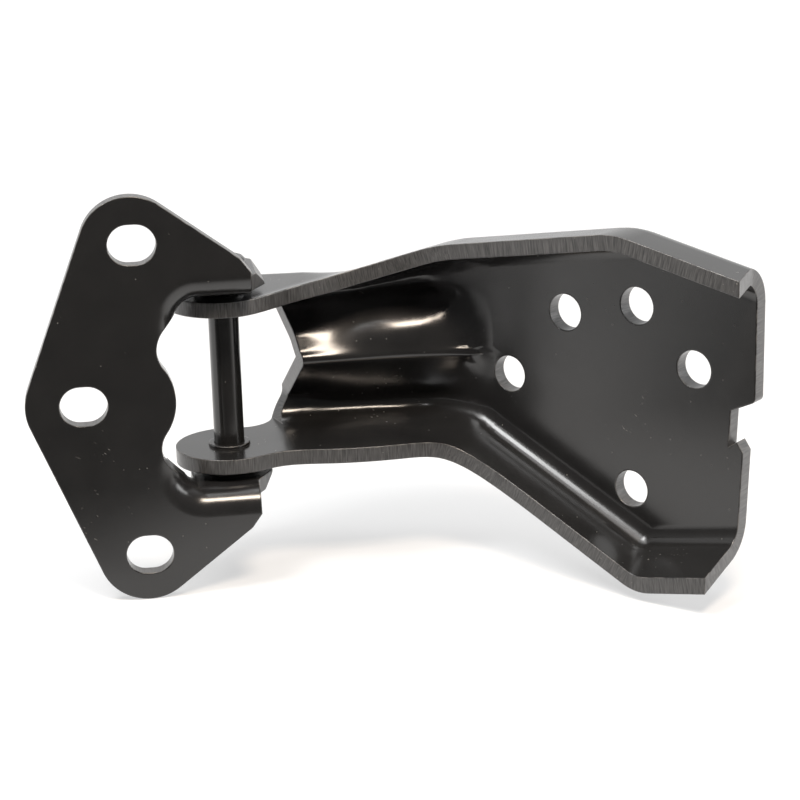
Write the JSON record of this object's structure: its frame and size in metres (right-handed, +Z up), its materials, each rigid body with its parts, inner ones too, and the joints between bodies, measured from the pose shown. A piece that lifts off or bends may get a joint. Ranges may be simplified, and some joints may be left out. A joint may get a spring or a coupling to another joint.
{
  "type": "car door hinge",
  "caption": "Two-leaf steel car door hinge: a slotted pillar plate with folded ears, a pin, and a long ribbed channel leaf with a flat bolt plate.",
  "frame": {"origin": "on the pillar plate's mounting face at mid-height, 29 mm beside the pin axis", "axes": "-Y out of the pillar plate's mounting face, towards the pillar; +Z up along the pin; +X from the pillar plate towards the door leaf"},
  "size_m": [0.2153, 0.1104, 0.126],
  "materials": {
    "pillar_paint": "semi-gloss black coat over stamped steel",
    "door_paint": "semi-gloss black coat over stamped steel",
    "pin_paint": "gloss black coat over turned steel",
    "bush_paint": "black coat over a pressed bush"
  },
  "bodies": {
    "pillar": {"pillar_leaf": "pillar_paint", "hinge_pin": "pin_paint"},
    "door": {"door_leaf": "door_paint", "upper_bush": "bush_paint", "lower_bush": "bush_paint"}
  },
  "joints": [
    {"name": "door_swing", "type": "hinge", "parent": "pillar", "child": "door", "pos_m": [0.029, 0.0245, 0], "axis": [0, 0, 1], "range_deg": [-23, 47]}
  ]
}
